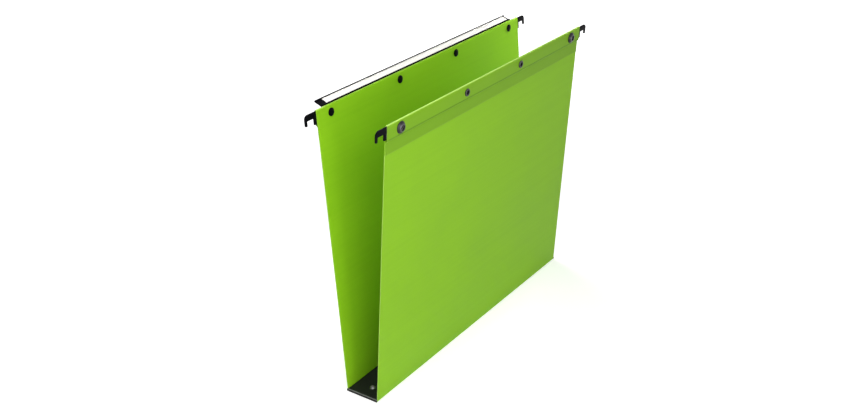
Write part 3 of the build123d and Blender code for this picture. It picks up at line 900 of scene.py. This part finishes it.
leg_bottom = back.bar_top - LEG_BELOW_BAR_TOP
leg_top = tray_point(0, TRAY_HEIGHT / 2)[1]
lip = TRAY_WALL + TRAY_LIP_REACH
channel_section = rounded_outline([
    ((HEM_FACE, leg_bottom), EDGE_ROUND),
    ((LEG_FACE, leg_bottom), EDGE_ROUND),
    (under_tray(LEG_FACE), ROOT_ROUND),
    (tray_point(TRAY_DEPTH, 0), TRAY_ROUND),
    (tray_point(TRAY_DEPTH, TRAY_HEIGHT), EDGE_ROUND),
    (tray_point(TRAY_DEPTH - lip, TRAY_HEIGHT), LIP_ROUND),
    (tray_point(TRAY_DEPTH - lip, TRAY_UNDER_LIP), LIP_ROUND),
    (tray_point(TRAY_DEPTH - TRAY_WALL, TRAY_UNDER_LIP), SHARP),
    (tray_point(TRAY_DEPTH - TRAY_WALL, TRAY_FLOOR), SHARP),
    (tray_point(TRAY_WALL, TRAY_FLOOR), SHARP),
    (tray_point(TRAY_WALL, TRAY_UNDER_LIP), SHARP),
    (tray_point(lip, TRAY_UNDER_LIP), LIP_ROUND),
    (tray_point(lip, TRAY_HEIGHT), LIP_ROUND),
    (tray_point(0, TRAY_HEIGHT), EDGE_ROUND),
    (tray_point(0, TRAY_HEIGHT / 2), SHARP),
    ((HEM_FACE, leg_top), LIP_ROUND),
])
print("channel section has", len(channel_section), "points")

# %% [markdown]
# ## The channel's length
# On the real folder the section is pushed out of a die and sawn off. Two rings and one long face between
# them would do, but stations every 20 mm keep the faces short. The ends are saw cuts, so they get only a
# hair of rounding.

# %% Run the section along the channel
CHANNEL_STATIONS = (-CHANNEL_END, *range(-140, 141, 20), CHANNEL_END)
SAW_EDGE, SAW_EDGE_ANGLE = 0.08, 70

channel_shape = bmesh.new()
add_run(channel_shape, channel_section, CHANNEL_STATIONS, back.point)
channel_mesh = mesh_from("label_channel", channel_shape)
channel = new_piece("label_channel", channel_mesh, black_plastic)
finish_mesh(channel.data)
round_edges(channel, SAW_EDGE, SAW_EDGE_ANGLE)
freeze(channel)
finish_mesh(channel.data)
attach(channel, "back_wall")
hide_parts("label_holder")
print("label channel has", len(channel.data.polygons), "faces")

# %% [markdown]
# ## Eyelets
# Two hollow eyelets hold the board to the sheet. They are pressed from tube, so the flange on top is
# rolled, and that round catches the light as a small crescent. A flat ring can't, so the half section is
# drawn with its roll and turned about the axis. The places and the outer size are read from the box of
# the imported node.

# %% Turn the two eyelets
EYELET_BORE, EYELET_WALL = 1.7, 0.4
EYELET_FLANGE_RISE = 0.45
EYELET_STEPS, ROLL_STEPS = 48, 10

eyelet_low, eyelet_high = [Vector(corner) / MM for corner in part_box("base_eyelets")]
flange_radius = (eyelet_high.y - eyelet_low.y) / 2
eyelet_reach = eyelet_high.x - flange_radius
eyelet_y = (eyelet_low.y + eyelet_high.y) / 2
plate_top = eyelet_high.z - EYELET_FLANGE_RISE
roll_middle = (EYELET_BORE + flange_radius) / 2
roll_half = (flange_radius - EYELET_BORE) / 2
shank_radius = EYELET_BORE + EYELET_WALL
rolls = [math.pi * step / ROLL_STEPS for step in range(ROLL_STEPS + 1)]
roll_reach = [roll_middle - roll_half * math.cos(roll) for roll in rolls]
roll_rise = [plate_top + EYELET_FLANGE_RISE * math.sin(roll) for roll in rolls]
rolled = list(zip(roll_reach, roll_rise))
shank = [(shank_radius, plate_top), (shank_radius, SHEET)]
foot = [(flange_radius, 0), (flange_radius - EYELET_WALL, 0), (EYELET_BORE, SHEET)]


def about_axis(middle_x):
    """Where a point of the half section lies at an angle about one eyelet's axis."""
    def place(angle, r, z):
        return Vector((middle_x + r * math.cos(angle), eyelet_y + r * math.sin(angle), z)) * MM
    return place


eyelet_shape = bmesh.new()
turns = [2 * math.pi * step / EYELET_STEPS for step in range(EYELET_STEPS)]
for side in (-1, 1):
    add_run(eyelet_shape, rolled + shank + foot, turns, about_axis(side * eyelet_reach), turned=True)
eyelet_mesh = mesh_from("rolled_eyelets", eyelet_shape)
eyelets = new_piece("rolled_eyelets", eyelet_mesh, bright_nickel)
finish_mesh(eyelets.data)
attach(eyelets, "base")
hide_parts("base_eyelets")
print("eyelets are", round(eyelet_reach, 2), "mm from the middle,", len(eyelets.data.polygons), "faces")

# %% [markdown]
# ## Solids that stay
# Studs, sockets, springs, washers, rivets, bars, the base's own sheet and board, and the label have the
# right shape in the CAD model already. Drawing them again would only add faults, so they keep their
# meshes and only get their finishes.

# %% Give the kept solids their finishes
KEPT = {
    "base_panel": green_sheet,
    "base_plate": board_black,
    "front_hanger_bar": steel,
    "back_hanger_bar": steel,
    "front_stud_sockets": socket_nickel,
    "front_socket_springs": spring_wire,
    "front_stud_caps": black_plastic,
    "front_rivets": black_plastic,
    "front_rivet_washers": nickel,
    "back_studs": nickel,
    "back_stud_caps": black_plastic,
    "back_rivets": black_plastic,
    "back_rivet_washers": nickel,
    "paper_label": white_card,
}
for name, finish in KEPT.items():
    solid = frame["nodes"][name]
    solid.data.materials.clear()
    solid.data.materials.append(finish.material)
print(len(KEPT), "solids keep their meshes")

# %% [markdown]
# ## Floor
# The photograph has a plain white ground. More light on a pale floor would make it white, but would bleach
# the folder too. So the floor is a pale sheet that takes the shadow, and a Light Path node lifts it to
# white only for what the camera, gloss and glass see. It is lifted more where the lamps' light fades.

# %% A pale floor that keeps the shadow
FLOOR_REACH = 6.0
FLOOR_DROP = 0.3 * MM
LAMPLIGHT_FADES = (0.35, 1.0)


def grey(level):
    """An even grey as linear light."""
    return (level, level, level, 1.0)


BLACK, WHITE = grey(0.0), grey(1.0)
NEAR_LIFT, FAR_LIFT = grey(0.45), grey(0.9)


def seen_directly(nodes):
    """1 for camera, glossy and transmission rays, 0 for the light that falls on things."""
    rays = ("Is Camera Ray", "Is Glossy Ray", "Is Transmission Ray")
    camera_ray, glossy, transmitted = [nodes.node("ShaderNodeLightPath", {}, {}, ray) for ray in rays]
    return camera_ray + glossy + transmitted


floor_look = {"Base Color": srgb(240, 240, 240), "Roughness": 0.9, "Specular IOR Level": 0.0}
floor_finish = Finish("pale_floor", {**floor_look, "Emission Strength": 1.0})
floor_way = length(floor_finish, floor_finish.node("ShaderNodeTexCoord", {}, {}, "Object"))
floor_lift = floor_finish.mix(between(floor_finish, floor_way, *LAMPLIGHT_FADES), NEAR_LIFT, FAR_LIFT)
floor_finish.drive("Emission Color", floor_finish.mix(seen_directly(floor_finish), BLACK, floor_lift))
floor_mesh = bpy.data.meshes.new("floor")
floor_corners = [(x * FLOOR_REACH, y * FLOOR_REACH, 0) for x, y in ((-1, -1), (1, -1), (1, 1), (-1, 1))]
floor_mesh.from_pydata(floor_corners, [], [(0, 1, 2, 3)])
floor_mesh.materials.append(floor_finish.material)
floor = bpy.data.objects.new("floor", floor_mesh)
floor.location.z = -FLOOR_DROP
bpy.context.scene.collection.objects.link(floor)
floor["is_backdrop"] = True
print("floor reaches", FLOOR_REACH, "m to each side")

# %% [markdown]
# ## Sky
# The sky fills the shadows a little from all sides. A white sky would light the folder too much, so it is
# dim for the light that falls on things, and white where it is seen, in the same way as the floor.

# %% A dim sky that looks white
SKY_LIGHT = grey(0.12)

sky = bpy.data.worlds.new("studio_sky")
sky.use_nodes = True
bpy.context.scene.world = sky
sky_nodes = Nodes(sky.node_tree, "Background")
sky_nodes.drive("Color", sky_nodes.mix(seen_directly(sky_nodes), SKY_LIGHT, WHITE))
print("sky gives", SKY_LIGHT[0], "of its white as light")


# %% [markdown]
# ## Lamps
# The photograph's light is soft and comes from the left. One strong lamp would leave hard shadows between
# the walls, so seven disks share the work: three at the left and front, one above, one behind, and two
# narrower ones that look in between the walls, as the bright room around a real folder does. These two
# stay out of the gloss, because so close to the metal they would leave sparks on it.

# %% Soft lamps
def soft_lamp(name, place, target, size, power, spread=180):
    """A disk of light that looks from a place at a target, within a spread in degrees."""
    data = bpy.data.lights.new(name, "AREA")
    data.shape = "DISK"
    data.size = size
    data.energy = power
    data.spread = math.radians(spread)
    lamp = bpy.data.objects.new(name, data)
    lamp.location = place
    lamp.rotation_euler = aimed(Vector(target) - Vector(place))
    bpy.context.scene.collection.objects.link(lamp)
    return lamp


middle = (0.0, 0.0, 0.13)
left_between, right_between = (-0.1, 0.03, 0.2), (0.15, 0.035, 0.22)
soft_lamp("left_key", (-0.35, -0.5, 0.6), middle, size=0.4, power=1.5)
soft_lamp("left_low", (-0.6, -0.4, 0.2), middle, size=0.4, power=1.0)
soft_lamp("front_soft", (-0.35, -0.9, 0.3), middle, size=0.4, power=1.5)
inside_lamps = [
    soft_lamp("left_inside", (-0.35, -0.05, 0.6), left_between, size=0.25, power=0.47, spread=120),
    soft_lamp("right_inside", (0.4, 0.0, 0.3), right_between, size=0.1, power=0.25, spread=60),
]
for lamp in inside_lamps:
    lamp.visible_glossy = False
soft_lamp("top_soft", (0.1, -0.15, 1.5), middle, size=1.2, power=4.5)
soft_lamp("back_fill", (0.5, 1.3, 0.9), middle, size=1.0, power=13.0)
bpy.context.scene.view_settings.view_transform = "Standard"

# %% [markdown]
# ## Measure and finish
# The dressed folder's box is compared with the CAD model's box, and the largest difference is printed.
# The dressed folder has to stay inside the CAD model's box.

# %% Compare both boxes
seen_low, seen_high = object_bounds()
difference = max(abs(a - b) for a, b in zip([*cad_low, *cad_high], [*seen_low, *seen_high]))
print("largest difference, mm:", round(difference / MM, 3))
